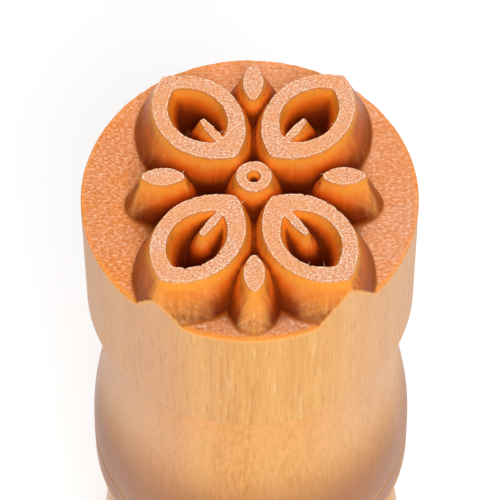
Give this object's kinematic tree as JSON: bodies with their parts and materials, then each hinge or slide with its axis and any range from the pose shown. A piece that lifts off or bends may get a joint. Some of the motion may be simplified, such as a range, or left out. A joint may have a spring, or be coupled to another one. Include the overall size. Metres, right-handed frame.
{
  "type": "hand stamp",
  "caption": "Turned wooden hand stamp: a round head with a deep carved petal motif on its face, a shouldered collar and a waisted palm grip with a flat end.",
  "frame": {"origin": "centre of the flat end of the grip, on the surface it stands on", "axes": "+Z along the tool's axis from the grip's flat end to the carved face, -Y towards the front of the motif, +X to the right"},
  "size_m": [0.0254, 0.0254, 0.076],
  "materials": {
    "head_wood": "bare pale hardwood, end grain on the carved face and fine straight grain on the side, walls of the relief polished amber by the cutter",
    "handle_wood": "turned hardwood, fine straight grain, satin oiled finish, slightly darker from handling",
    "dowel_wood": "bare beech, fluted, hidden inside the joint"
  },
  "bodies": {
    "root": {"stamp_head": "head_wood", "collar": "handle_wood", "grip": "handle_wood", "joining_dowel": "dowel_wood"}
  },
  "joints": []
}
